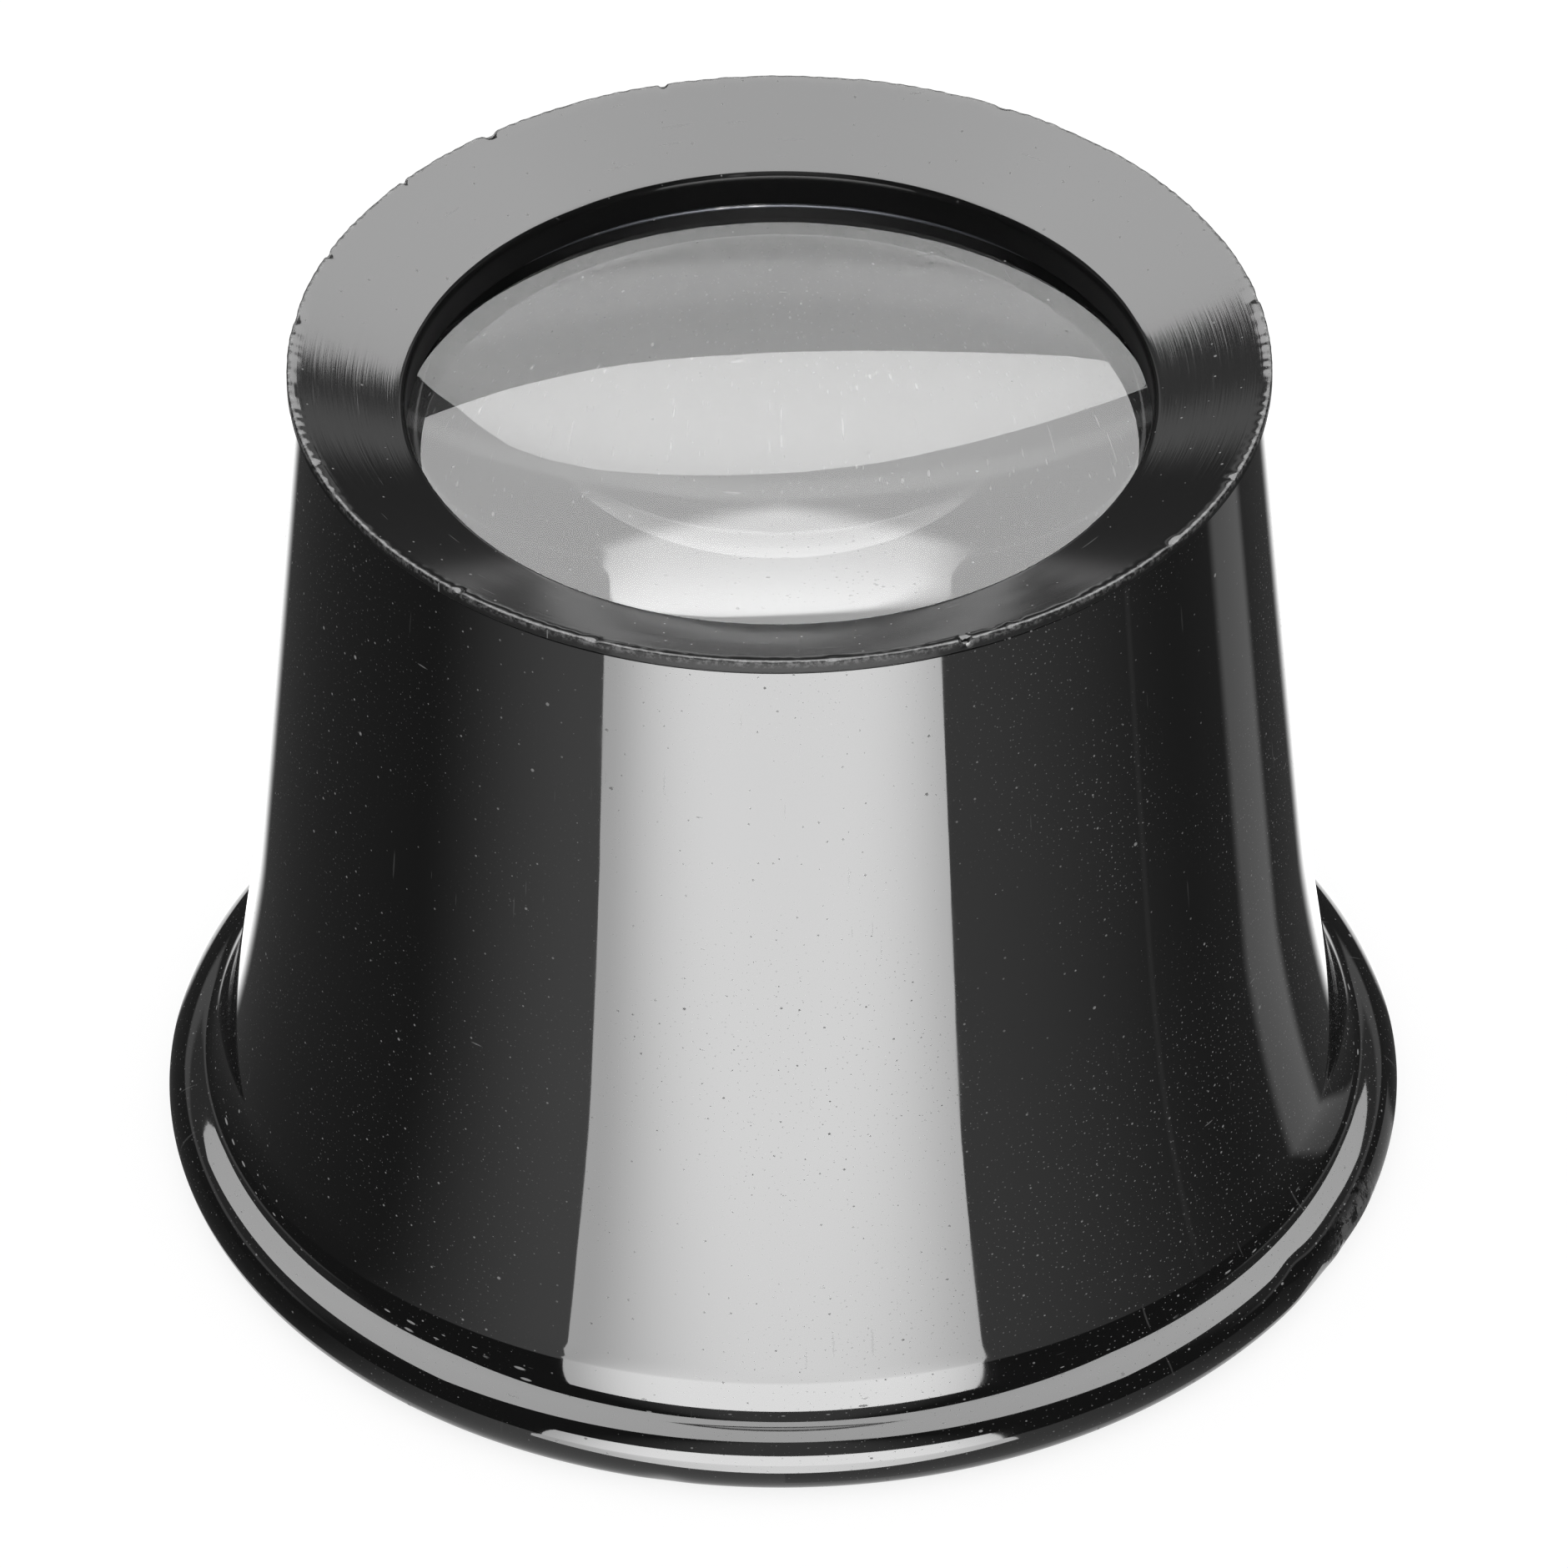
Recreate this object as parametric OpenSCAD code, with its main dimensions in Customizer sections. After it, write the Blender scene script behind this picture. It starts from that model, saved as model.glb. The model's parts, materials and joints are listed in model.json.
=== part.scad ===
// Watchmaker's eye loupe: a flared moulded eyecup, a dished bezel that screws into
// its neck, a biconvex glass lens in the bezel's pocket and a split ring that holds
// the lens from behind. The axis is Z, the eye rim rests on Z = 0, sizes are in mm.

/* [Lens] */
// Diameter of the lens, from which the bezel and the neck take theirs
lens_d = 22.6; // [20:0.2:24]
// Radius of curvature of the front face
front_r = 45; // [38:1:60]
// Radius of curvature of the back face
back_r = 116; // [80:2:160]
// Thickness of the lens at its edge
lens_edge = 0.9; // [0.6:0.1:1.4]

/* [Bezel] */
// Width of the shoulder that the lens's front face rests on
shoulder_w = 0.8; // [0.5:0.1:1.6]
// Wall of the spigot round the lens
spigot_wall = 0.97; // [0.7:0.05:1.4]
// How far the bezel stands out past the neck
overhang = 0.17; // [0.05:0.02:0.4]
// Height of the thin edge that shows round the outside
edge_h = 0.35; // [0.25:0.05:0.6]
// Width of the level lip round the top
lip_w = 0.12; // [0.06:0.02:0.3]
// Depth of the dish, from its outer edge to the aperture
dish_drop = 1; // [0.8:0.05:1.3]
// Angle of the bevel under the bezel, in degrees
bevel_angle = 37; // [34:1:42]
// Depth of the aperture's wall above the lens
aperture_depth = 1.2; // [0.9:0.1:1.8]
// Radius of the rounded edge between the dish and the aperture
round_r = 0.3; // [0.1:0.05:0.5]
// Land of the spigot behind the ring's groove
groove_land = 1.4; // [0.8:0.1:1.8]

/* [Retaining ring] */
// Diameter of the ring's wire
wire_d = 0.6; // [0.4:0.05:0.8]
// Opening of the split, in degrees
split_angle = 24; // [10:1:60]

/* [Body] */
// Height from the table to the bezel's outer edge
total_h = 26.8; // [24:0.2:34]
// Wall of the neck between its bore and its outside
neck_wall = 1.25; // [1:0.05:1.6]
// Run-out of the bore below the spigot
bore_runout = 0.4; // [0.2:0.1:1.5]
// Thickness of the side wall
wall = 1.6; // [1.2:0.1:2]

/* [Eye rim] */
// Diameter over the rolled bead
rim_d = 36; // [34:0.5:42]
// Height of the rolled bead
bead_h = 1.9; // [1.4:0.1:2.4]
// Flat ledge between the foot of the body and the top of the bead
ledge_w = 0.2; // [0.05:0.05:0.5]
// Width of the flat ring that the loupe rests on
rest_w = 0.85; // [0.4:0.05:1.2]
// How far the foot stands out from the line of the side wall
flare_out = 0.93; // [0.5:0.05:1.4]
// Radius of the flare that sweeps out to the foot
flare_r = 5.2; // [3.6:0.2:8]

/* [Fits] */
// Radial clearance of the spigot in its bore
thread_gap = 0.08; // [0.03:0.01:0.1]
// Gap between the bezel's bevel and the neck's bevelled seat
seat_gap = 0.05; // [0.03:0.01:0.1]
// Radial clearance of the lens in its pocket
pocket_gap = 0.05; // [0.03:0.01:0.1]
// Gap between the lens and what holds it, at its front and back
lens_gap = 0.02; // [0.01:0.01:0.05]
// Clearance of the wire in its groove
groove_gap = 0.03; // [0.02:0.01:0.06]

/* [Hidden] */
$fn = 160;
// Number of steps along a long arc and along a small one
long_steps = 16;
short_steps = 8;
// How far a cutting shape runs past the solid that it cuts
past = 1;

// Radii, each worked out from the one inside it
lens_edge_r = lens_d / 2;
aperture_r = lens_edge_r - shoulder_w;
pocket_r = lens_edge_r + pocket_gap;
spigot_r = pocket_r + spigot_wall;
bore_r = spigot_r + thread_gap;
neck_r = bore_r + neck_wall;
bezel_r = neck_r + overhang;
wire_r = wire_d / 2;
groove_r = wire_r + groove_gap;
bead_r = bead_h / 2;
bead_c = [rim_d / 2 - bead_r, bead_r];

// Height of the bezel's bevel and of the neck's seat at radius r
function bevel_z(r) = total_h - edge_h - (bezel_r - r) * tan(bevel_angle);
function seat_z(r) = bevel_z(r) - seat_gap;

// The dish meets the aperture at a corner, which is rounded off
dish_angle = atan(dish_drop / (bezel_r - lip_w - aperture_r));
corner = [aperture_r, total_h - dish_drop];
round_c = corner + round_r * [1, -tan(45 + dish_angle / 2)];
shoulder_z = corner[1] - aperture_depth;

// The lens's front face touches the shoulder's inner corner, and its two faces are
// parts of spheres about front_c and back_c
front_c = shoulder_z - lens_gap - sqrt(front_r * front_r - aperture_r * aperture_r);
edge_z = front_c + sqrt(front_r * front_r - lens_edge_r * lens_edge_r);
back_c = edge_z - lens_edge + sqrt(back_r * back_r - lens_edge_r * lens_edge_r);

// The wire's centre lies on the pocket's wall, against the lens's back face
wire_z = back_c - sqrt(pow(back_r + lens_gap + wire_r, 2) - pocket_r * pocket_r);
spigot_z = wire_z - groove_r - groove_land;
bore_z = spigot_z - bore_runout;

// The side wall runs straight from the neck, then sweeps out to the foot
neck = [neck_r, seat_z(neck_r)];
foot = [bead_c[0] - ledge_w, bead_h];
eye_edge = [bead_c[0] - rest_w, 0];
lean = atan2(foot[0] - neck[0], neck[1] - foot[1]) - asin(flare_out / norm(foot - neck));
out = [cos(lean), sin(lean)];
down = [sin(lean), -cos(lean)];
inner_neck = neck - wall * out;

// Points on an arc about centre c, from angle a0 to angle a1 in a number of steps
function arc(c, r, a0, a1, steps) =
    [for (i = [0:steps]) let (a = a0 + (a1 - a0) * i / steps) c + r * [cos(a), sin(a)]];

// A straight line from point p along the wall, then an arc of radius r, tangent to it,
// that ends at point q. Along and away are the distances from p to q, measured along
// the wall and square to it.
function sweep(p, q, r) =
    let (along = (q - p) * down, away = (q - p) * out)
    let (start = along - sqrt(2 * r * away - away * away))
    let (c = p + start * down + r * out)
    concat([p], arc(c, r, 180 + lean, 180 + lean + acos(1 - away / r), long_steps));

// Outline of the body with its rim, closed along the axis
module body_outline() {
    polygon(concat(
        [[0, seat_z(bore_r)], [bore_r, seat_z(bore_r)]],
        sweep(neck, foot, flare_r),
        arc(bead_c, bead_r, 90, -90, long_steps),
        [[0, 0]]));
}

// Outline of the hollow: the wall's inner side, then the eye opening
module hollow_outline() {
    polygon(concat(
        [[0, inner_neck[1]]],
        sweep(inner_neck, eye_edge, flare_r + wall),
        [[eye_edge[0], -past], [0, -past]]));
}

// Flared cup that stands on its eye rim
module eyecup() {
    color([0.09, 0.09, 0.1])
    difference() {
        rotate_extrude() body_outline();
        intersection() {
            rotate_extrude() hollow_outline();
            translate([0, 0, -past]) cylinder(r = rim_d, h = bore_z + past);
        }
        translate([0, 0, bore_z - past]) cylinder(r = bore_r, h = total_h);
    }
}

// Dished ring with a bevelled underside, a spigot and a pocket for the lens
module bezel() {
    color([0.13, 0.13, 0.14])
    rotate_extrude()
    polygon(concat(
        [[bezel_r, bevel_z(bezel_r)], [bezel_r, total_h], [bezel_r - lip_w, total_h]],
        arc(round_c, round_r, 90 + dish_angle, 180, short_steps),
        [[aperture_r, shoulder_z], [pocket_r, shoulder_z]],
        arc([pocket_r, wire_z], groove_r, 90, -90, short_steps),
        [[pocket_r, spigot_z], [spigot_r, spigot_z], [spigot_r, bevel_z(spigot_r)]]));
}

// Biconvex glass, its steeper face to the front
module lens() {
    color([0.75, 0.82, 0.85, 0.5])
    rotate_extrude()
    intersection() {
        translate([0, front_c]) circle(r = front_r, $fn = 6 * $fn);
        translate([0, back_c]) circle(r = back_r, $fn = 6 * $fn);
        translate([0, edge_z - total_h / 2]) square([lens_edge_r, total_h]);
    }
}

// Split spring ring in the pocket's groove
module retaining_ring() {
    color([0.6, 0.6, 0.62])
    translate([0, 0, wire_z])
    rotate([0, 0, split_angle / 2 - 90])
    rotate_extrude(angle = 360 - split_angle) translate([pocket_r, 0]) circle(r = wire_r);
}

eyecup();
bezel();
lens();
retaining_ring();
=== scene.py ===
import json
import math
import bpy
import bmesh
import numpy as np
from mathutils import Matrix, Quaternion, Vector


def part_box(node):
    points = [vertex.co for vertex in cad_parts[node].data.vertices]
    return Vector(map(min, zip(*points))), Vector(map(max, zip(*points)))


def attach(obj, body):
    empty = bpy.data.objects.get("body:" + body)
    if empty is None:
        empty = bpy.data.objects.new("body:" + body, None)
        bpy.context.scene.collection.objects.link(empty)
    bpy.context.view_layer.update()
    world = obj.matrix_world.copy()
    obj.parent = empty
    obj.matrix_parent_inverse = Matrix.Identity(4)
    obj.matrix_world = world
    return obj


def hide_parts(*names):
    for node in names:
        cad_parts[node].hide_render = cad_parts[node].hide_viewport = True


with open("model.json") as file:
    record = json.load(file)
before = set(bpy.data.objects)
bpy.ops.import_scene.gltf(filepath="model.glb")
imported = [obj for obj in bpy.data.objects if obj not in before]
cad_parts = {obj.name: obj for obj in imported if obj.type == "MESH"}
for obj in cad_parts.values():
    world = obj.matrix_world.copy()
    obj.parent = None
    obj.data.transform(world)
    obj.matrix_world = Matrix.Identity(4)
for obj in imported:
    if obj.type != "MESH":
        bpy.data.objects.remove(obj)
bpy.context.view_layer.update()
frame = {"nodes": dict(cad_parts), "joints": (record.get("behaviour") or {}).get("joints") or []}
mm = 0.001


# Frame measures are in millimetres. The reach of a node is its largest distance from the axis.
def reach(node):
    co = np.array([v.co for v in frame["nodes"][node].data.vertices])
    return float(np.hypot(co[:, 0], co[:, 1]).max() / mm)


# Heights of a node's underside and top
def levels(node):
    low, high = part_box(node)
    return low.z / mm, high.z / mm


rimRadius = reach("eyecup")
bezelRadius = reach("bezel")
lensRadius = reach("lens")
spigotEnd, topZ = levels("bezel")
lensBack, lensFront = levels("lens")
wireLow, wireHigh = levels("retaining_ring")
screwTravel = next(j["range_m"][1] for j in frame["joints"] if j["name"] == "lens_rise") / mm
screwTurns = next(j["range_deg"][1] for j in frame["joints"] if j["name"] == "bezel_turn") / 360
pitch = screwTravel / screwTurns
print("frame read: rim radius", round(rimRadius, 2), "height", round(topZ, 2),
      "thread pitch", round(pitch, 2))


# Outlines are lists of (radius, height) in millimetres. Each stretch leaves its end to the next one.
# A line goes from p to q in equal steps.
def line(p, q, steps):
    t = np.linspace(0, 1, steps + 1)[:-1, None]
    return np.array(p) * (1 - t) + np.array(q) * t


# An arc goes round its centre in equal steps of angle, between two angles in degrees
def arc(centre, radius, start, end, steps):
    a = np.radians(np.linspace(start, end, steps + 1)[:-1])
    return np.array(centre) + radius * np.stack([np.cos(a), np.sin(a)], 1)


# Unit vector at an angle of so many degrees
def unit(angle):
    return np.array([math.cos(math.radians(angle)), math.sin(math.radians(angle))])


# A wall that runs straight from p and then flares to q, leaning out by lean degrees. At the length s
# down the flare it stands away from the straight line by away * (s / length) ^ power.
def flare(p, q, length, power, lean, straightSteps, flareSteps):
    out = unit(lean)
    down = np.array([out[1], -out[0]])
    along, away = (q - p) @ down, (q - p) @ out
    s = (np.linspace(0, 1, flareSteps + 1)[:-1, None] ** 0.7) * length      # closer together at the end
    return np.concatenate([line(p, p + (along - length) * down, straightSteps),
                           p + (along - length + s) * down + away * (s / length) ** power * out])


# A wall that runs straight from p and then sweeps to q on a tangent arc, leaning out by lean degrees
def sweep(p, q, radius, lean, straightSteps, arcSteps):
    out = unit(lean)
    down = np.array([out[1], -out[0]])
    along, away = (q - p) @ down, (q - p) @ out
    start = along - math.sqrt(2 * radius * away - away * away)
    centre = p + start * down + radius * out
    turn = math.degrees(math.acos(1 - away / radius))
    return np.concatenate([line(p, p + start * down, straightSteps),
                           arc(centre, radius, 180 + lean, 180 + lean + turn, arcSteps)])


meshing = {
    "sharpFrom": 28,            # degrees between two faces, from which their edge stays sharp
    "mergeAt": 0.0004,          # millimetres between points that become one
}


# A mesh from points in millimetres, its faces turned outwards.
def meshPiece(name, points, faces, slot=None, body=None, replaces=()):
    mesh = bpy.data.meshes.new(name)
    mesh.from_pydata((points * mm).tolist(), [], faces if isinstance(faces, list) else faces.tolist())
    work = bmesh.new()
    work.from_mesh(mesh)
    bmesh.ops.remove_doubles(work, verts=work.verts, dist=meshing["mergeAt"] * mm)
    work.normal_update()
    bmesh.ops.recalc_face_normals(work, faces=work.faces)
    work.to_mesh(mesh)
    work.free()
    mesh.shade_smooth()
    mesh.set_sharp_from_angle(angle=math.radians(meshing["sharpFrom"]))
    piece = bpy.data.objects.new(name, mesh)
    bpy.context.scene.collection.objects.link(piece)
    if body:
        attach(piece, body)
        if replaces:
            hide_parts(*replaces)
    return piece


# Quads of a grid of rows by columns, closed along either side where asked
def gridFaces(rows, columns, closeRows=True, closeColumns=True):
    i = np.arange(rows if closeRows else rows - 1)[:, None]
    j = np.arange(columns if closeColumns else columns - 1)[None, :]
    i2, j2 = (i + 1) % rows, (j + 1) % columns
    quads = np.stack([i * columns + j, i * columns + j2, i2 * columns + j2, i2 * columns + j], -1)
    return quads.reshape(-1, 4)


# A point (r, z) of the outline, turned to the angle a, lies at (r cos a, r sin a, z).
# shape may move r and z by rules of its own: it gets and returns whole arrays.
def lathe(name, outline, turns, shape=None, closed=True, **how):
    a = np.linspace(0, 2 * np.pi, turns, endpoint=False)[None, :]
    r = np.repeat(outline[:, :1], turns, 1)
    z = np.repeat(outline[:, 1:], turns, 1)
    if shape:
        r, z = shape(r, z, np.broadcast_to(a, r.shape))
    points = np.stack([r * np.cos(a), r * np.sin(a), z], -1).reshape(-1, 3)
    return meshPiece(name, points, gridFaces(len(outline), turns, closed), **how)


# Smooth random waves round the circle: a sum of cosines with random heights and phases,
# so the value at 0 and at a full turn is the same
def ripple(a, waves, seed, slope=0.5):
    rng = np.random.default_rng(seed)
    total = np.zeros(a.shape)
    for wave in waves:
        total += rng.normal() * wave ** -slope * np.cos(wave * a + rng.uniform(0, 2 * np.pi))
    return total / math.sqrt(sum(wave ** (-2 * slope) for wave in waves))


cup = {
    "beadHeight": 1.9,          # rolled bead of the eye rim
    "ledgeWidth": 0.2,          # between the foot and the top of the bead
    "restWidth": 0.85,          # of the flat ring that the loupe stands on
    "flareOut": 0.93,           # foot beyond the line of the wall
    "flareRadius": 5.2,         # of the hollow, less the wall
    "wall": 1.6,
    "neckWall": 1.25,
    "overhang": 0.17,           # of the bezel past the neck
    "bevelAngle": 37,           # degrees, under the bezel
    "edgeHeight": 0.35,         # of the bezel's upright edge
    "seatGap": 0.05,            # between the bevel and the neck
    "boreRunOut": 0.4,          # of the bore below the spigot
    "boreStep": 0.15,           # height of the plain stretch under the bore
    "boreChamfer": 0.1,
    "eyeRound": 0.08,           # radius of the rim's inner edge
    "neckRound": 0.06,          # radius of the neck's top edge
    "flareLength": 7.5,         # along the wall
    "flarePower": 2,
    "flareEnd": 11,             # degrees from upright, where the flare runs into the foot
    "footRadius": 3.0,
    "footEnd": 35,              # degrees from upright, where the foot runs into the groove
    "groove": 0.68,             # radius between the foot and the ledge
    "ledgeStart": 72,           # the ledge falls outwards, on an arc between these angles
    "ledgeEnd": 66,
    "ledgeRadius": 4.3,
    "turns": 480,               # steps to the turn
}
thread = {
    "depth": 0.15,              # that the bore is cut to, beyond its own radius
    "neckCrest": 0.21,          # that the neck's ridge reaches in from the bore
    "bezelCrest": 0.06,         # that the spigot's ridge reaches out from the spigot
    "rootWidth": 0.8,
    "crestWidth": 0.1,
    "steps": 160,               # to the turn
    "fade": 0.35,               # of a turn, at either end of the ridge
}

neckRadius = bezelRadius - cup["overhang"]
boreRadius = neckRadius - cup["neckWall"]
bevel = math.tan(math.radians(cup["bevelAngle"]))


# The bezel's bevel falls inwards, by the tangent of its angle for each millimetre of radius
def bevelZ(radius):
    return topZ - cup["edgeHeight"] - (bezelRadius - radius) * bevel


# The neck's top lies under the bevel, by the gap between them
def seatZ(radius):
    return bevelZ(radius) - cup["seatGap"]


beadRadius = cup["beadHeight"] / 2
beadCentre = np.array([rimRadius - beadRadius, beadRadius])
neck = np.array([neckRadius, seatZ(neckRadius)])
foot = np.array([beadCentre[0] - cup["ledgeWidth"], cup["beadHeight"]])
eyeEdge = np.array([beadCentre[0] - cup["restWidth"], 0.0])
reachDown = foot - neck
lean = math.degrees(math.atan2(reachDown[0], -reachDown[1])
                    - math.asin(cup["flareOut"] / np.hypot(*reachDown)))
innerNeck = neck - cup["wall"] * unit(lean)
boreZ = spigotEnd - cup["boreRunOut"]
threadBore = boreRadius + thread["depth"]       # the bore is cut to the root of its thread
print("wall leans", round(lean, 2), "degrees")


# The inside of the wall runs straight down from its top and leans out
def innerWallRadius(z):
    return innerNeck[0] + (innerNeck[1] - z) * math.tan(math.radians(lean))


# Each dent sinks a spot of the bead by its depth times a bell curve in angle, radius and height
dents = [
    # angle in degrees, radius, height, width round, width up, depth
    (-31.0, 17.9, 0.9, 0.9, 0.5, 0.09),
    (-33.5, 17.7, 1.5, 0.6, 0.3, 0.07),
    (-29.0, 18.0, 0.8, 0.5, 0.4, 0.06),
    (-25.0, 18.0, 0.9, 0.7, 0.6, 0.05),
    (-36.5, 17.8, 1.2, 0.4, 0.3, 0.05),
    (-101.0, 17.9, 0.4, 0.5, 0.3, 0.05),
]


# The dents sink the bead alone: near grows from 0 at its inner side to 1 at its middle
def cupShape(r, z, a):
    near = np.clip((r - rimRadius + 2 * beadRadius) / beadRadius, 0, 1) * (z < cup["beadHeight"] + 0.1)
    for angle, atR, atZ, wide, tall, depth in dents:
        off = (a - math.radians(angle) + np.pi) % (2 * np.pi) - np.pi
        bell = np.exp(-(off * atR / wide) ** 2 - ((z - atZ) ** 2 + (r - atR) ** 2) / tall ** 2)
        r = r - near * depth * bell
    return r, z


# Above the bead the wall turns through three hollow curves and one round ledge, each tangent to the
# next
ledgeCentre = beadCentre - (cup["ledgeRadius"] - beadRadius) * unit(cup["ledgeEnd"])
grooveCentre = ledgeCentre + (cup["ledgeRadius"] + cup["groove"]) * unit(cup["ledgeStart"])
footCentre = grooveCentre + (cup["footRadius"] - cup["groove"]) * unit(cup["footEnd"])
flareFoot = footCentre - cup["footRadius"] * unit(cup["flareEnd"])
stepZ, chamferZ = boreZ - cup["boreStep"], boreZ + cup["boreChamfer"]
cupOutline = np.concatenate([
    flare(neck, flareFoot, cup["flareLength"], cup["flarePower"], lean, 14, 30),
    arc(footCentre, cup["footRadius"], 180 + cup["flareEnd"], 180 + cup["footEnd"], 14),
    arc(grooveCentre, cup["groove"], 180 + cup["footEnd"], 180 + cup["ledgeStart"], 8)[1:],
    arc(ledgeCentre, cup["ledgeRadius"], cup["ledgeStart"], cup["ledgeEnd"], 5)[1:],
    arc(beadCentre, beadRadius, cup["ledgeEnd"], -90, 30)[1:],
    line((beadCentre[0], 0), eyeEdge + [cup["eyeRound"], 0], 2),
    arc(eyeEdge + cup["eyeRound"], cup["eyeRound"], -90, -133, 3),
    sweep(innerNeck, eyeEdge, cup["flareRadius"] + cup["wall"], lean, 20, 22)[::-1][1:-14],
    line((innerWallRadius(stepZ), stepZ), (innerWallRadius(boreZ), boreZ), 2),
    line((innerWallRadius(boreZ), boreZ), (threadBore, chamferZ), 2),
    line((threadBore, chamferZ), (threadBore, seatZ(threadBore)), 8),
    line((threadBore, seatZ(threadBore)), neck - [cup["neckRound"], cup["neckRound"] * bevel], 4),
    arc(neck + [-cup["neckRound"], -0.02], cup["neckRound"], 80, 10, 3),
])
cupPiece = lathe("eyecup_body", cupOutline, cup["turns"], cupShape,
                 slot="eyecup_plastic", body="eyecup", replaces=["eyecup"])
print("eyecup made:", len(cupPiece.data.polygons), "faces")


# A ridge wound on a helix: at the angle a round from its start the ridge's middle is at the height
# low + pitch * a / 360, and its rounded section stands between the radii root and crest. The
# crest's reach shrinks to nothing over the last stretch at either end.
def ridge(name, root, crest, low, high, **how):
    turns = (high - low) / pitch
    a = np.linspace(0, turns * 2 * np.pi, int(turns * thread["steps"]))[:, None]
    fade = np.clip(np.minimum(a, a[-1] - a) / (2 * np.pi * thread["fade"]), 0.02, 1)
    fade = np.sin(fade * np.pi / 2)
    side = np.array([-0.5, -0.25, -0.12, 0, 0.12, 0.25, 0.5])[None, :]      # across the section
    rise = np.array([0, 0.55, 0.93, 1, 0.93, 0.55, 0])[None, :]             # up to the crest
    rootWidth, crestWidth = thread["rootWidth"], thread["crestWidth"]
    width = np.select([np.abs(side) > 0.3, np.abs(side) > 0.2], [rootWidth, rootWidth + crestWidth],
                      crestWidth * 3)
    bury = 0.03 * np.sign(root - crest)                                     # so that no gap shows
    r = root + bury + (crest - root - bury) * rise * fade
    z = low + pitch * a / (2 * np.pi) + side * width * np.ones_like(fade)
    points = np.stack([r * np.cos(a), r * np.sin(a), z], -1)
    rows, columns = points.shape[:2]
    faces = gridFaces(rows, columns, False, True).tolist()
    faces += [list(range(columns)), list(range((rows - 1) * columns, rows * columns))[::-1]]
    return meshPiece(name, points.reshape(-1, 3), faces, **how)


neckThread = ridge("neck_thread", threadBore, boreRadius - thread["neckCrest"],
                   boreZ + 0.55, seatZ(boreRadius) - 0.45, slot="eyecup_plastic", body="eyecup")
print("neck thread made")


bezel = {
    "shoulderWidth": 0.8,       # that the lens's front face rests on
    "lipWidth": 0.12,           # of the level lip round the top
    "dishDrop": 1.0,            # from the lip to the aperture
    "apertureDepth": 1.2,
    "roundRadius": 0.3,         # between the dish and the aperture
    "pocketGap": 0.05,          # round the lens
    "grooveGap": 0.03,          # round the wire
    "spigotGap": 0.08,          # between the spigot and the bore
    "spigotRoot": 0.22,         # that the spigot is cut to, below its own radius
    "lipRound": 0.045,          # radius of the outer edge's top
    "chamfer": 0.05,            # of the pocket's mouth
    "relief": 0.1,              # of the spigot's end
    "flash": 0.03,              # how far the turned edge is ragged
    "waves": 0.0005,            # of the dish's surface
    "turns": 1250,              # steps to the turn
}
apertureRadius = lensRadius - bezel["shoulderWidth"]
pocketRadius = lensRadius + bezel["pocketGap"]
wireZ = (wireLow + wireHigh) / 2
wireRadius = (wireHigh - wireLow) / 2
grooveRadius = wireRadius + bezel["grooveGap"]
spigotRadius = boreRadius - bezel["spigotGap"]
spigotRoot = spigotRadius - bezel["spigotRoot"]
dishAngle = math.degrees(math.atan(bezel["dishDrop"] / (bezelRadius - bezel["lipWidth"] - apertureRadius)))
corner = np.array([apertureRadius, topZ - bezel["dishDrop"]])
roundCentre = corner + bezel["roundRadius"] * np.array([1, -math.tan(math.radians(45 + dishAngle / 2))])
roundTop = roundCentre + bezel["roundRadius"] * unit(90 + dishAngle)
shoulderZ = corner[1] - bezel["apertureDepth"]
lipInner = np.array([bezelRadius - bezel["lipWidth"], topZ])
dishSlope = math.tan(math.radians(dishAngle))
nicks = [
    # angle in degrees, width and depth in millimetres
    (-68.5, 0.14, 0.16), (-63, 0.10, 0.06), (-84, 0.3, 0.04), (-112, 0.22, 0.05), (-130, 0.12, 0.07),
    (-38, 0.25, 0.05), (-24, 0.1, 0.06), (12, 0.2, 0.05), (104, 0.12, 0.09), (127, 0.2, 0.12),
    (141, 0.1, 0.08), (158, 0.16, 0.06), (171, 0.3, 0.05), (-160, 0.15, 0.05), (62, 0.2, 0.05),
]


# The turned edge is ragged: near the lip r and z lose a little, by waves round the circle and by
# the nicks, each a flat-topped bell. The dish sinks by shallow waves that run round it, the sine of
# its radius with a phase that wanders.
def bezelShape(r, z, a):
    edge = np.clip(1 - np.hypot((r - bezelRadius + 0.05) / 0.25, (z - topZ) / 0.3), 0, 1)
    rag = 0.5 + 0.5 * np.clip(ripple(a, range(9, 260, 3), 4, 0.35), -1, 1)
    cut = bezel["flash"] * rag
    for angle, wide, depth in nicks:
        off = ((a - math.radians(angle) + np.pi) % (2 * np.pi) - np.pi) * bezelRadius
        cut = cut + depth * np.exp(-(off / wide) ** 4)
    r = r - edge * cut * 0.45
    z = z - edge * cut
    dish = np.clip((r - apertureRadius - 0.3) / 0.4, 0, 1) * np.clip((lipInner[0] - r) / 0.3, 0, 1)
    dish = dish * (z > shoulderZ + 1)
    swell = ripple(a, range(2, 11), 9, 0.6) * np.sin(r * 6 + 2 * ripple(a, range(1, 5), 3))
    return r, z - dish * bezel["waves"] * (1 + np.clip(swell, -1, 1))


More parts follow.
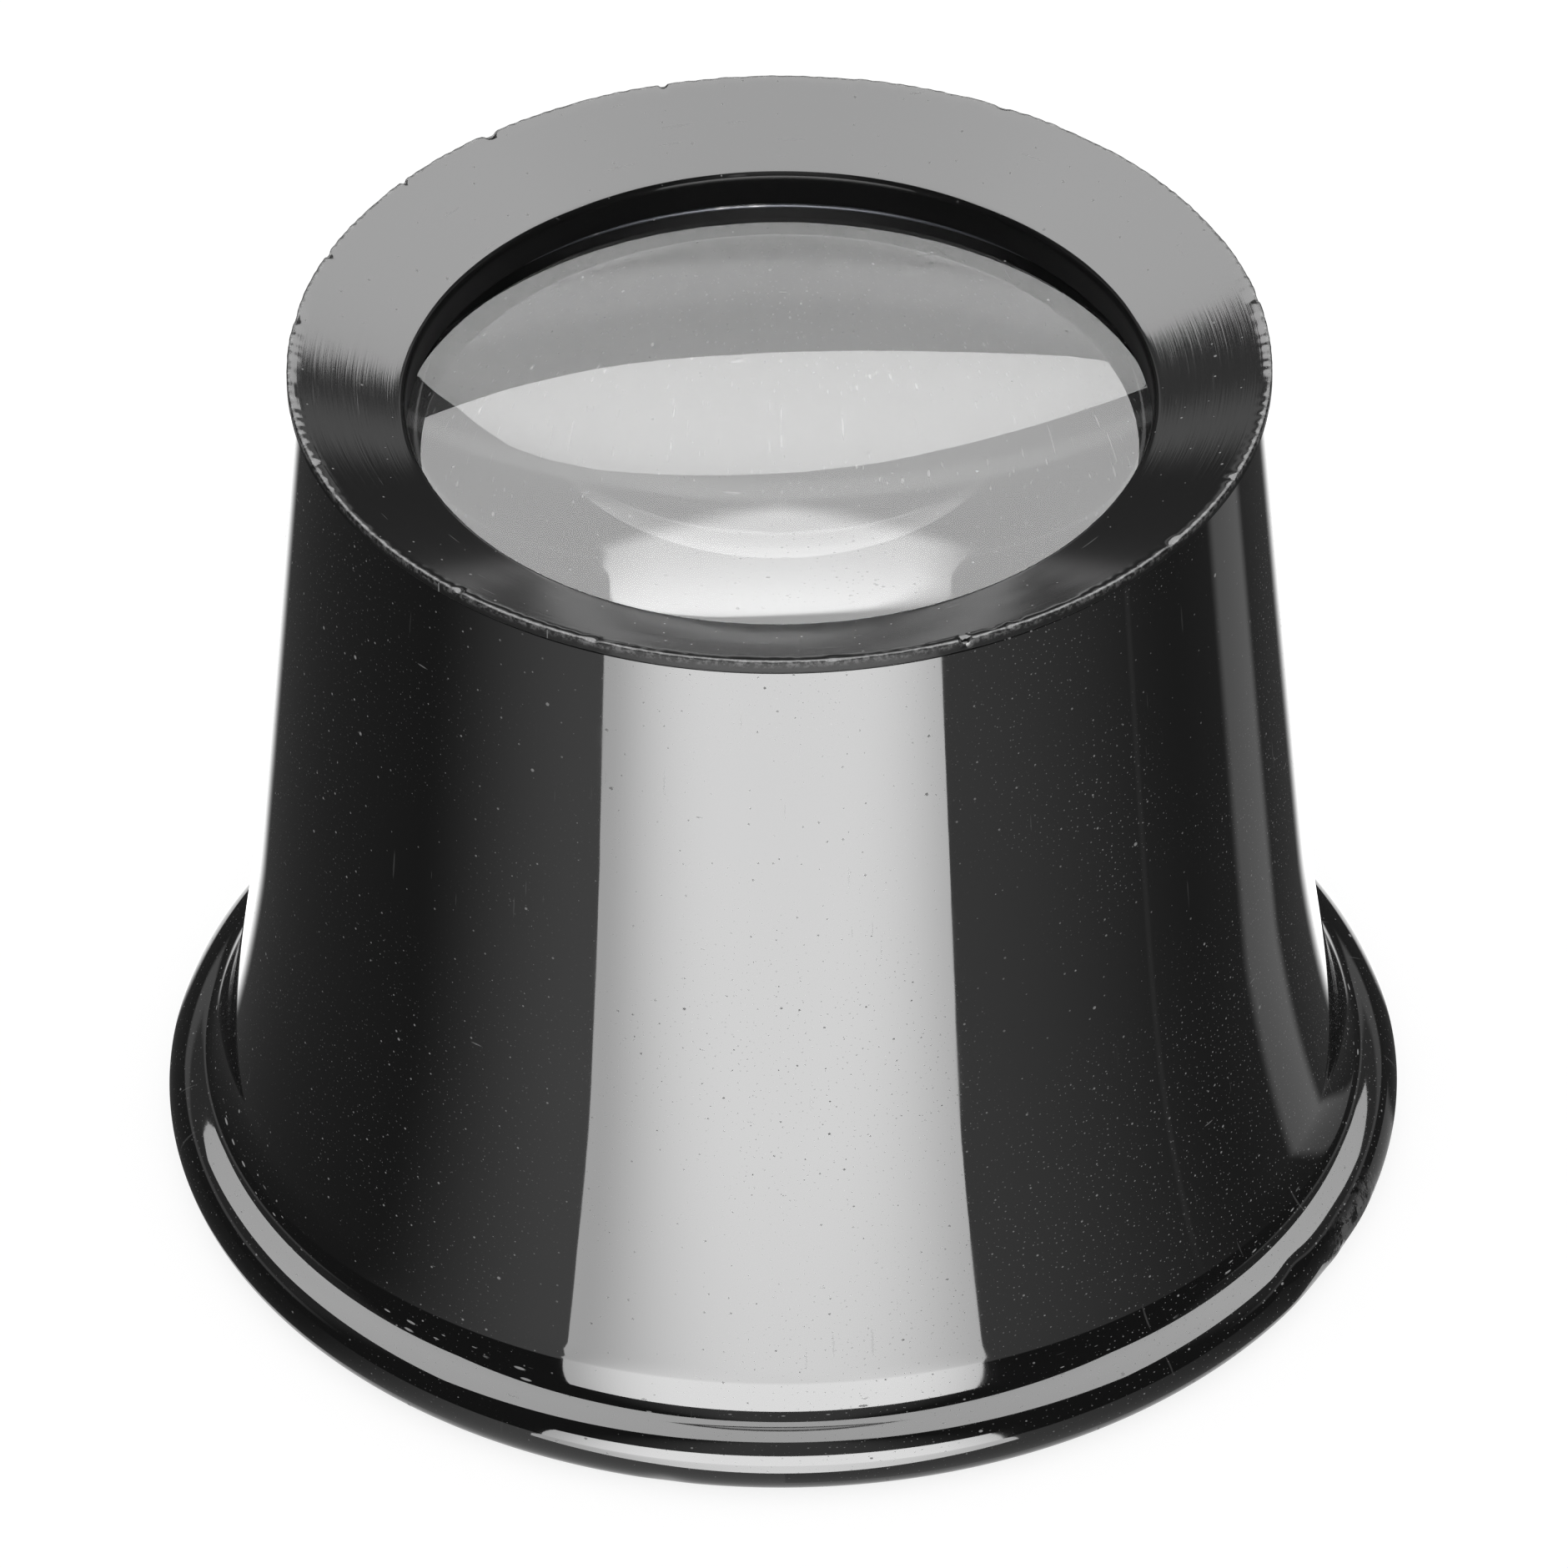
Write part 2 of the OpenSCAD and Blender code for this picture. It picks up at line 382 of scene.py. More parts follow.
lowerEdge = (bezelRadius - 0.03, bevelZ(bezelRadius) - 0.012)
sideStart = (bezelRadius, bevelZ(bezelRadius) + 0.03)
lipSide, lipTop = bezelRadius - bezel["lipRound"], topZ - bezel["lipRound"]
lipEnd = lipInner + [0.015, 0]
dishStart = lipInner - [0.03, 0.03 * dishSlope]
chamferEnd = spigotEnd + bezel["chamfer"]
bezelOutline = np.concatenate([
    line(lowerEdge, sideStart, 2),
    line(sideStart, (bezelRadius, lipTop), 5),
    arc((lipSide, lipTop), bezel["lipRound"], 0, 90, 4),
    line((lipSide, topZ), lipEnd, 3),
    line(lipEnd, dishStart, 2),
    line(dishStart, roundTop, 20),
    arc(roundCentre, bezel["roundRadius"], 90 + dishAngle, 180, 7),
    line((apertureRadius, roundCentre[1]), (apertureRadius, shoulderZ), 4),
    line((apertureRadius, shoulderZ), (pocketRadius, shoulderZ), 2),
    line((pocketRadius, shoulderZ), (pocketRadius, wireZ + grooveRadius), 2),
    arc((pocketRadius, wireZ), grooveRadius, 90, -90, 6),
    line((pocketRadius, wireZ - grooveRadius), (pocketRadius, chamferEnd), 2),
    line((pocketRadius, chamferEnd), (pocketRadius + bezel["chamfer"], spigotEnd), 1),
    line((pocketRadius + bezel["chamfer"], spigotEnd), (spigotRoot - bezel["relief"], spigotEnd), 2),
    line((spigotRoot - bezel["relief"], spigotEnd), (spigotRoot, spigotEnd + bezel["relief"]), 1),
    line((spigotRoot, spigotEnd + bezel["relief"]), (spigotRoot, bevelZ(spigotRoot)), 5),
    line((spigotRoot, bevelZ(spigotRoot)), lowerEdge, 4),
])
bezelPiece = lathe("bezel_ring", bezelOutline, bezel["turns"], bezelShape,
                   slot="bezel_plastic", body="bezel", replaces=["bezel"])
bezelThread = ridge("bezel_thread", spigotRoot, spigotRadius + thread["bezelCrest"],
                    spigotEnd + 0.5, bevelZ(spigotRoot) - 0.55, slot="bezel_plastic", body="bezel")
print("bezel made:", len(bezelPiece.data.polygons), "faces")


glass = {
    "frontRadius": 45,          # of curvature
    "backRadius": 116,
    "chamfer": 0.1,
    "edgeDrop": 0.07,           # of the chamfer
    "rings": 60,                # from the middle to the edge
    "turns": 256,               # steps to the turn
    "index": 1.52,
    "dust": 0.7,                # how far its dust covers it
}


# At the distance r from the axis a face of radius R lies R - sqrt(R^2 - r^2) below its middle,
# or above it at the back
def sag(radius, r):
    return radius - np.sqrt(radius ** 2 - r ** 2)


across = np.sin(np.linspace(0, np.pi / 2, glass["rings"])) * (lensRadius - glass["chamfer"])
frontFace = np.stack([across, lensFront - sag(glass["frontRadius"], across)], 1)
backFace = np.stack([across, lensBack + sag(glass["backRadius"], across)], 1)[::-1]
edge = np.array([(lensRadius, frontFace[-1, 1] - glass["edgeDrop"]),
                 (lensRadius, backFace[0, 1] + glass["edgeDrop"])])
lensPiece = lathe("lens_glass", np.concatenate([frontFace, edge, backFace]), glass["turns"], closed=False,
                  slot="lens_glass", body="lens", replaces=["lens"])
focus = 1 / ((glass["index"] - 1) * (1 / glass["frontRadius"] + 1 / glass["backRadius"]))
print("lens made: focus", round(focus, 1), "mm, so about", round(250 / focus, 1), "times")


spring = {
    "split": 24,                # degrees, on the camera's side
    "steps": 220,               # along the wire
    "round": 20,                # steps round it
}


# The wire of the ring: a circle of the wire's radius carried along an arc, drawn in to a rounded end
def springRing():
    half = math.radians(spring["split"] / 2)
    end = wireRadius / pocketRadius
    a = np.linspace(-np.pi / 2 + half, 1.5 * np.pi - half, spring["steps"])
    close = end * np.array([0, 0.04, 0.15, 0.35, 0.65])                     # more steps at the ends
    a = np.concatenate([a[0] + close, a[(a > a[0] + end) & (a < a[-1] - end)], a[-1] - close[::-1]])
    fromEnd = np.clip(np.minimum(a - a[0], a[-1] - a) / end, 0, 1)
    thick = wireRadius * np.sqrt(1 - (1 - fromEnd) ** 2)
    b = np.linspace(0, 2 * np.pi, spring["round"], endpoint=False)
    r = pocketRadius + thick[:, None] * np.cos(b)
    z = wireZ + thick[:, None] * np.sin(b)
    points = np.stack([r * np.cos(a)[:, None], r * np.sin(a)[:, None], z], -1)
    return meshPiece("retaining_spring", points.reshape(-1, 3), gridFaces(len(a), len(b), False, True),
                     slot="ring_steel", body="bezel", replaces=["retaining_ring"])


springPiece = springRing()
print("spring ring made")


# A wire carries a socket. Sums on wires add Math nodes, and a plain number may stand on either side.
class Wire:
    def __init__(self, finish, socket):
        self.finish, self.socket = finish, socket

    def maths(self, operation, *terms):
        return self.finish.add("ShaderNodeMath", {"operation": operation}, dict(enumerate(terms)))

    # Operations that have no sign of their own
    def absolute(self):
        return self.maths("ABSOLUTE", self)

    def cosine(self):
        return self.maths("COSINE", self)

    def arcsine(self):
        return self.maths("ARCSINE", self)

    def atLeast(self, least):
        return self.maths("MAXIMUM", self, least)

    def atMost(self, most):
        return self.maths("MINIMUM", self, most)

    # Angle of the point (other, self), in radians
    def angle(self, other):
        return self.maths("ARCTAN2", self, other)

    def __add__(self, other):
        return self.maths("ADD", self, other)

    def __sub__(self, other):
        return self.maths("SUBTRACT", self, other)

    def __rsub__(self, other):
        return self.maths("SUBTRACT", other, self)

    def __mul__(self, other):
        return self.maths("MULTIPLY", self, other)

    def __truediv__(self, other):
        return self.maths("DIVIDE", self, other)

    def __rtruediv__(self, other):
        return self.maths("DIVIDE", other, self)

    def __pow__(self, other):
        return self.maths("POWER", self, other)

    def __gt__(self, other):
        return self.maths("GREATER_THAN", self, other)

    def __lt__(self, other):
        return self.maths("LESS_THAN", self, other)

    __radd__ = __add__
    __rmul__ = __mul__

    # 0 below low, 1 above high and a soft step between them
    def step(self, low, high):
        values = {"Value": self, "From Min": low, "From Max": high}
        return self.finish.add("ShaderNodeMapRange", {"interpolation_type": "SMOOTHSTEP"}, values)

    # 1 between the two middle values and 0 past the outer ones
    def band(self, low, lowEnd, highStart, high):
        return self.step(low, lowEnd) * (1 - self.step(highStart, high))


# The nodes of a material or of the world
class Finish:
    def __init__(self, owner):
        owner.use_nodes = True
        self.owner, self.tree = owner, owner.node_tree
        self.tree.nodes.clear()

    # One node: its settings first, then the values or wires of its sockets
    def add(self, kind, settings=None, values=None, output=0):
        node = self.tree.nodes.new(kind)
        for key, value in (settings or {}).items():
            setattr(node, key, value)
        for key, value in (values or {}).items():
            socket = node.inputs[key]
            if isinstance(value, Wire):
                self.tree.links.new(value.socket, socket)
            else:
                socket.default_value = value
        return Wire(self, node.outputs[output])

    # Coordinates of the piece in millimetres
    def place(self):
        here = self.add("ShaderNodeTexCoord", output="Object")
        return self.scaled(here, (1000, 1000, 1000))

    def scaled(self, vector, scale, turn=0.0):
        values = {"Vector": vector, "Rotation": (0, 0, turn), "Scale": scale}
        return self.add("ShaderNodeMapping", None, values)

    # The three coordinates as wires
    def parts(self, vector):
        return [self.add("ShaderNodeSeparateXYZ", None, {"Vector": vector}, output=i) for i in range(3)]

    def joined(self, x, y, z=0.0):
        return self.add("ShaderNodeCombineXYZ", None, {"X": x, "Y": y, "Z": z})

    def noise(self, vector, scale, detail=2.0, rough=0.5):
        values = {"Vector": vector, "Scale": scale, "Detail": detail, "Roughness": rough}
        return self.add("ShaderNodeTexNoise", None, values)

    # Specks on a flat pair of coordinates in millimetres. A cell in each 1 / scale mm has room for one
    # round speck, whose radius differs from cell to cell, and the share says how many cells hold one.
    def specks(self, flat, scale, radius, share):
        cell = {"Vector": flat, "Scale": scale, "Randomness": 1.0}
        distance = self.add("ShaderNodeTexVoronoi", {"voronoi_dimensions": "2D"}, cell, output="Distance")
        colour = self.add("ShaderNodeTexVoronoi", {"voronoi_dimensions": "2D"}, cell, output="Color")
        pick = self.add("ShaderNodeSeparateColor", None, {"Color": colour}, output=0)
        size = self.add("ShaderNodeSeparateColor", None, {"Color": colour}, output=1)
        reachOut = (size ** 2 * 0.7 + 0.3) * radius * scale
        return (1 - (distance / reachOut).step(0.5, 1)) * (pick > 1 - share)

    # The side wall unrolled: distance round it from the front, taken at 15 mm from the axis, and
    # distance up or inwards
    def unrolled(self, vector):
        x, y, z = self.parts(vector)
        inwards = sideFrom - (x * x + y * y) ** 0.5
        return self.joined(x.angle(0 - y) * sideRadius, z + inwards)

    # Round the axis: the cosine and sine of the angle, each times turn, and a third coordinate
    def round(self, vector, turn, along):
        x, y, z = self.parts(vector)
        radius = (x * x + y * y) ** 0.5
        return self.joined(x / radius * turn, y / radius * turn, along(radius, z))

    def tint(self, factor, first, second):
        values = {0: factor, 6: first, 7: second}
        return self.add("ShaderNodeMix", {"data_type": "RGBA"}, values, output=2)

    def bump(self, height, distance):
        return self.add("ShaderNodeBump", None, {"Height": height, "Distance": distance})

    def principled(self, **values):
        words = {key.replace("_", " "): value for key, value in values.items()}
        return self.add("ShaderNodeBsdfPrincipled", None, words)

    def mixed(self, factor, first, second):
        return self.add("ShaderNodeMixShader", None, {0: factor, 1: first, 2: second})

    # Matt dust over another shader, as far as cover says
    def dusty(self, shader, cover, level):
        dust = self.principled(Base_Color=grey(level), Roughness=1.0, Specular_IOR_Level=0.0)
        return self.surface(self.mixed(cover, shader, dust))

    def surface(self, shader, end="ShaderNodeOutputMaterial"):
        self.tree.links.new(shader.socket, self.tree.nodes.new(end).inputs["Surface"])
        return self.owner


def newFinish(name):
    return Finish(bpy.data.materials.new(name))


def grey(level, warm=0.0):
    return (level * (1 + warm), level, level * (1 - warm), 1)


sideRadius = 15                 # millimetres, at which the side wall is unrolled
sideFrom = 18                   # millimetres, from which the distance inwards counts
dishRadius = 12                 # millimetres, at which the dish is unrolled
plastic = {
    "base": 0.006,
    # colour of the aperture's wall and the cell, a shade darker than the turned face: painted shade
    "turnedBase": 0.008,
    "cellShadeBase": 0.005,
    "tornBase": 0.14,           # colour of the torn edge
    "scuffBase": 0.11,
    "flowBase": 0.03,
    "roughness": 0.03,
    "turnedRoughness": 0.06,
    "index": 1.52,
    "dust": 0.34,               # colour of the dust
    "flowLine": 44,             # degrees to the right of the front
    "scuff": 67,
    "bump": 0.0000012,          # metres
    "turnedBump": 0.0000015,
}
# Cells to the millimetre, radius in millimetres and share of the cells
dirt = {
    "tiny": (4.4, 0.034, 0.85),
    "fine": (1.5, 0.05, 0.5),
    "coarse": (0.42, 0.085, 0.35),
    "lint": (0.8, 0.04, 0.16),
    "flecks": (3.0, 0.06, 0.6),
    "dishFine": (1.3, 0.055, 0.4),
    "dishLint": (0.9, 0.04, 0.12),
    "glassFine": (0.9, 0.06, 0.3),
    "glassLint": (0.5, 0.05, 0.12),
}
# Turn from upright in radians, then as above
wallScratches = [(0.1, 1.6, 0.045, 0.35), (-0.25, 0.9, 0.04, 0.3), (1.2, 0.8, 0.035, 0.2)]
dishScratches = [(0.04, 2.2, 0.045, 0.5), (-0.05, 1.1, 0.04, 0.4)]


# Scratches are specks on coordinates that are stretched along them
def scratchesOn(f, flat, scratches, stretch):
    return sum(f.specks(f.scaled(flat, stretch, turn), *kind) for turn, *kind in scratches)


# Polished black moulding: dust in three sizes, more of it to the right, short lint, fine scratches
# that run up and round, faint smears, a hairline of the flow in the mould, torn flecks along the
# foot and a scuffed place on the bead
def mouldingFinish():
    f = newFinish("black moulding")
    here = f.place()
    flat = f.unrolled(here)
    across = f.parts(flat)[0]
    z = f.parts(here)[2]
    patch = f.noise(here, 0.12, 2).step(0.36, 0.6)
    right = across.step(-4, 14) * 0.6 + 0.4
    tiny = f.specks(flat, *dirt["tiny"]) * patch * right
    fine = f.specks(flat, *dirt["fine"]) * (patch * 0.5 + 0.5)
    coarse = f.specks(flat, *dirt["coarse"])
    lint = f.specks(f.scaled(flat, (0.13, 1, 1), 0.9), *dirt["lint"])
    flecks = f.specks(f.scaled(flat, (0.3, 1, 1)), *dirt["flecks"])
    flecks = flecks * z.band(2.0, 2.06, 2.3, 2.5) * f.noise(here, 0.6, 1).step(0.45, 0.55)
    scratches = scratchesOn(f, flat, wallScratches, (1, 0.06, 1))
    scratches = scratches * f.noise(here, 0.2, 1).step(0.42, 0.6) * 0.16
    dust = (tiny * 0.8 + fine + coarse + lint * 0.6 + flecks * 2 + scratches).atMost(1)
    smear = f.noise(here, 0.16, 4, 0.6).step(0.4, 0.75)
    upward = f.noise(f.round(here, 60, lambda radius, z: z * 0.12), 1.0, 3, 0.6)
    bend = (16 - z).atLeast(0)                                  # the flow line bends below this height
    flow = across - (bend * bend * 0.004 + math.radians(plastic["flowLine"]) * sideRadius)
    flow = (1 - flow.absolute().step(0.02, 0.16)) * z.step(2, 5) * 0.5
    away = (across - math.radians(plastic["scuff"]) * sideRadius).absolute()
    scuff = (1 - away.step(0.6, 1.7)) * (1 - z.step(1.2, 1.75)) * f.noise(here, 2.6, 4, 0.7).step(0.42, 0.56)
    base = f.tint(flow, grey(plastic["base"]), grey(plastic["flowBase"]))
    base = f.tint(scuff, base, grey(plastic["scuffBase"]))
    rough = scuff * 0.5 + smear * 0.03 + plastic["roughness"]
    height = f.noise(here, 0.55, 2) * 0.6 + upward * 0.16 + f.noise(here, 5.0, 2) * 0.02 + scuff * 20
    clean = f.principled(Base_Color=base, Roughness=rough, IOR=plastic["index"],
                         Normal=f.bump(height, plastic["bump"]))
    return f.dusty(clean, dust, plastic["dust"])


# The turned bezel: fine lines run round the dish and are deeper at either side, the edge is torn and
# worn; the aperture's wall and the cell behind it are matt, with painted shade: darker, nearly unreflecting
def turnedFinish():
    f = newFinish("black turned bezel")
    here = f.place()
    x, y, z = f.parts(here)
    radius = (x * x + y * y) ** 0.5
    lines = f.noise(f.round(here, 2.4, lambda radius, z: radius * 30), 1.0, 2, 0.6)
    broad = f.noise(f.round(here, 1.2, lambda radius, z: radius * 15), 1.0, 3, 0.65)
    wide = f.noise(f.round(here, 1.5, lambda radius, z: radius * 2.5), 1.0, 1, 0.5)
    side = x.absolute().step(8, 12)
    inDish = z.step(shoulderZ + 0.9, shoulderZ + 1.1)
    fine = f.specks(here, *dirt["dishFine"])
    lint = f.specks(f.scaled(here, (0.16, 1, 1), 0.6), *dirt["dishLint"])
    flat = f.joined(x.angle(0 - y) * dishRadius, radius)
    scratches = scratchesOn(f, flat, dishScratches, (0.07, 1, 1))
    scratches = scratches * f.noise(here, 0.3, 1).step(0.4, 0.55) * 0.22
    dust = (fine + lint * 0.5 + scratches).atMost(1) * inDish
    torn = radius.step(bezelRadius - 0.16, bezelRadius - 0.06) * z.step(topZ - 0.25, topZ - 0.08)
    grain = f.noise(here, 6.0, 3, 0.7)
    base = f.tint(torn * grain.step(0.42, 0.66), grey(plastic["turnedBase"]), grey(plastic["tornBase"]))
    rough = inDish * lines * 0.06 + plastic["turnedRoughness"] + torn * 0.25
    height = lines * 0.12 + broad * (side * 1.3 + 0.35) + wide * 0.12 + torn * grain * 6
    polished = f.principled(Base_Color=base, Roughness=rough, IOR=plastic["index"],
                            Normal=f.bump(height, plastic["turnedBump"]))
    worn = f.principled(Base_Color=base, Roughness=0.6, IOR=1.12)
    atEdge = radius.step(bezelRadius - 0.06, bezelRadius - 0.02) * 0.9
    # Matt, a shade darker and with almost no reflection (index 1.08): painted shade in the aperture's wall
    # and the cell
    mattShadedCell = f.principled(Base_Color=grey(plastic["cellShadeBase"]), Roughness=0.35, IOR=1.08)
    inCell = 1 - (z > shoulderZ - 0.02) * radius.step(apertureRadius, apertureRadius + 0.16)
    return f.dusty(f.mixed(inCell, f.mixed(atEdge, polished, worn), mattShadedCell), dust, plastic["dust"])


# Clear glass with dust lying on its front
def glassFinish():
    f = newFinish("clear glass")
    here = f.place()
    clear = f.principled(Base_Color=(1, 1, 1, 1), Roughness=0.0, IOR=glass["index"], Transmission_Weight=1.0)
    dust = f.principled(Base_Color=grey(0.75), Roughness=0.9, IOR=1.3)
    lint = f.specks(f.scaled(here, (0.2, 1, 1), 2.2), *dirt["glassLint"])
    specks = f.specks(here, *dirt["glassFine"]) + lint * 0.6
    onFront = (f.parts(here)[2] > lensFront - 1.3) * glass["dust"]
    return f.surface(f.mixed(specks.atMost(1) * onFront, clear, dust))


# Blued spring wire: drawn lines along it, and the blueing worn here and there
def wireFinish():
    f = newFinish("blued steel wire")
    here = f.place()
    lines = f.noise(f.round(here, 1.0, lambda radius, z: radius * 9 + z * 9), 1.0, 3, 0.7)
    worn = f.noise(here, 0.7, 3).step(0.62, 0.8)
    base = f.tint(worn, (0.045, 0.047, 0.053, 1), grey(0.3, 0.02))
    return f.surface(f.principled(Base_Color=base, Metallic=1.0, Roughness=lines * 0.2 + 0.3,
                                  Normal=f.bump(lines, 0.000002)))


moulding, turned, clearGlass, steel = mouldingFinish(), turnedFinish(), glassFinish(), wireFinish()
for piece, finish in ((cupPiece, moulding), (neckThread, moulding), (bezelPiece, turned),
                      (bezelThread, turned), (lensPiece, clearGlass), (springPiece, steel)):
    piece.data.materials.append(finish)
for name, finish in (("eyecup", moulding), ("bezel", turned), ("lens", clearGlass),
                     ("retaining_ring", steel)):
    frame["nodes"][name].data.materials.clear()
    frame["nodes"][name].data.materials.append(finish)
print("finishes made")


studio = {
    "softLevel": 0.8,           # of the world on matt surfaces
    "height": 900,              # millimetres, of the panel overhead
    "overhead": 7.3,            # light of the panel overhead
    "palingFrom": 400,          # millimetres behind the loupe, from which it pales
    "paling": 0.003,            # its loss over each millimetre towards the far edge
    "palest": 3.2,              # least light of it
    "inGlass": 0.88,            # share of it that is seen through the glass
    "front": 14.0,              # light of the panel in front, at its middle
    "frontSides": 0.5,          # share of it that is left at its sides
    "under": 8.0,               # light under the cup
    "horizon": 1.1,             # light of the two pale patches far behind
    "gap": 2.2,                 # light of the floor behind the loupe
    "wallRadius": 15.5,         # millimetres, of the wall that the room's floor is seen in
    "floorGlow": 0.81,          # light of the floor itself
    "floorColour": 0.3,
    "floorSize": 2600,          # millimetres, half its side
}


# Factor that is 1 for rays from the camera, from gloss and through glass
def seenFactor(f):
    names = ("Is Camera Ray", "Is Glossy Ray", "Is Transmission Ray")
    return sum(f.add("ShaderNodeLightPath", output=name) for name in names).atMost(1)


def floorFinish():
    f = newFinish("pale floor")
    soft = f.add("ShaderNodeBsdfDiffuse", None, {"Color": grey(studio["floorColour"])})
    light = seenFactor(f) * studio["floorGlow"]
    glow = f.add("ShaderNodeEmission", None, {"Color": grey(1.0), "Strength": light})
    return f.surface(f.add("ShaderNodeAddShader", None, {0: soft, 1: glow}))


# A finish that only shines: rule gets the place in millimetres as x, y, z and gives the light there
def glowFinish(name, rule):
    f = newFinish(name)
    light = rule(*f.parts(f.place()))
    return f.surface(f.add("ShaderNodeEmission", None, {"Color": grey(1.0), "Strength": light}))


# Stage piece seen only in gloss, through glass or in both
def stagePiece(piece, finish, gloss=True, through=True):
    piece.data.materials.append(finish)
    piece.visible_camera = piece.visible_diffuse = piece.visible_shadow = False
    piece.visible_glossy, piece.visible_transmission = gloss, through
    return piece


# Flat card through its corners in millimetres
def card(name, corners, finish, gloss=True, through=True):
    mesh = bpy.data.meshes.new(name)
    mesh.from_pydata([[c * mm for c in corner] for corner in corners], [], [list(range(len(corners)))])
    piece = bpy.data.objects.new(name, mesh)
    bpy.context.scene.collection.objects.link(piece)
    return stagePiece(piece, finish, gloss, through)


# Corners at the panel's height, in directions given as degrees to the right of straight back and
# degrees up
def overhead(directions):
    high = studio["height"]
    reachOut = [(high / math.tan(math.radians(up)), math.radians(side)) for side, up in directions]
    return [(r * math.sin(side), r * math.cos(side), high) for r, side in reachOut]


size = studio["floorSize"]
corners = [(-size, -size), (size, -size), (size, size), (-size, size)]
floor = card("floor", [(x, y, -0.02) for x, y in corners], floorFinish())
floor.visible_camera = floor.visible_diffuse = floor.visible_shadow = True

top = studio["height"]
sides = [(x * top, y * top, top) for x, y in ((1.15, 1.1), (0.9, 0.4), (0.75, -0.15))]
sides += [(-x, y, z) for x, y, z in sides[::-1]]


# The panel is bright over the loupe and pales towards its far edge
def panelLight(x, y, z):
    far = (y - studio["palingFrom"]).atLeast(0)
    return (studio["overhead"] - far * studio["paling"]).atLeast(studio["palest"])


panelFinish = glowFinish("overhead panel", panelLight)
dimmerFinish = glowFinish("overhead panel in glass", lambda x, y, z: panelLight(x, y, z) * studio["inGlass"])

# The panel's far edge as the dish shows it, and as the glass does
inGloss = [(-40, 33), (-30, 36.5), (-24, 34), (-20, 32.1), (-15, 32.3), (-10, 32.6), (-2.5, 33.1),
           (2.4, 32.7), (5.3, 32.1), (8.6, 31.1), (11.7, 29.6), (14.5, 27.7), (17, 26.3), (21, 30), (28, 31)]
inGlass = [(-40, 30.8), (-30, 31.8), (-21.5, 31.4), (-15, 30.4), (-8.8, 29), (-2.3, 27.8), (4, 26.8),
           (9.6, 25.7), (15.7, 24.5), (20.7, 24.7), (24.6, 25.8), (28.2, 28.6), (32, 31.5), (36, 33.2),
           (40.5, 35.5)]
card("overhead_panel", overhead(inGloss) + sides, panelFinish, through=False)
card("overhead_panel_in_glass", overhead(inGlass) + sides, dimmerFinish, gloss=False)


# Light of the panel in front: it falls off towards both sides, less to the right, and grows in
# three small steps with the distance
def frontLight(x, y, z):
    off = (x.absolute() + 7.5) / (0.9 * y.absolute() + 0.1)
    side = (x > 0) * 0.1 + studio["frontSides"]
    far = 0 - y
    steps = far.step(78, 84) * 0.05 + far.step(130, 140) * 0.05 + far.step(200, 280) * 0.06 + 1
    return (1 - (off ** 2).step(0.1, 0.9) * (1 - side)) * steps * studio["front"]


frontFinish = glowFinish("front panel", frontLight)
frontEdge = [(-9.9, -19.4), (-14.9, -25), (-27.2, -40), (-49.2, -65), (-248, -300),
             (212, -300), (42.3, -65), (24.2, -40), (13, -25), (8.8, -19.4)]
card("front_panel", [(x, y, 0.3) for x, y in frontEdge], frontFinish)
card("front_wall", [(-248, -300, 0.3), (-248, -300, 190), (212, -300, 190), (212, -300, 0.3)], frontFinish)


# Light under the cup, seen only by way of the inside of the wall: a disc on the floor, which gets
# lighter towards the front, and a screen that stands across the cup. Up the screen it grows
# brighter and draws in. Its left edge is sharp, and past the right one is a paler strip.
def underLight(x, y, z):
    ahead, off = 0 - y, x.absolute()
    start = off * 0.15 + 5.2
    glow = ((ahead - start) / (off * 0.1 + 2.1)).step(0, 1) * studio["under"]
    high = (z - 4).atLeast(0)
    left = 1 - (x + high * high * 0.08).step(11.2, 12.3)
    right = 1 - (0 - x + high * high * 0.15).step(9.5, 15.5)
    bright = 1 - (0 - x + (z - 5).atLeast(0) * 0.7).step(8, 10.5)
    climb = z * 0.75 + z * z * 0.08
    bow = (z - (1.8 - x * x * 0.04)).absolute()                 # a thin line low on the screen
    bow = (1 - bow.step(0.03, 0.2)) * (y < -8.9) * 1.2
    return (glow + climb * (bright * 0.75 + 0.25)) * left * right + bow


underFinish = glowFinish("light under the cup", underLight)
disc = [15.9 * unit(turn) for turn in np.linspace(0, 360, 65)[:-1]]
card("under_light", [(x, y, 0.05) for x, y in disc], underFinish, through=False)
card("under_screen", [(-12.8, -9, 0.06), (12.8, -9, 0.06), (9.6, -9, 14.5), (-9.6, -9, 14.5)], underFinish,
     through=False)


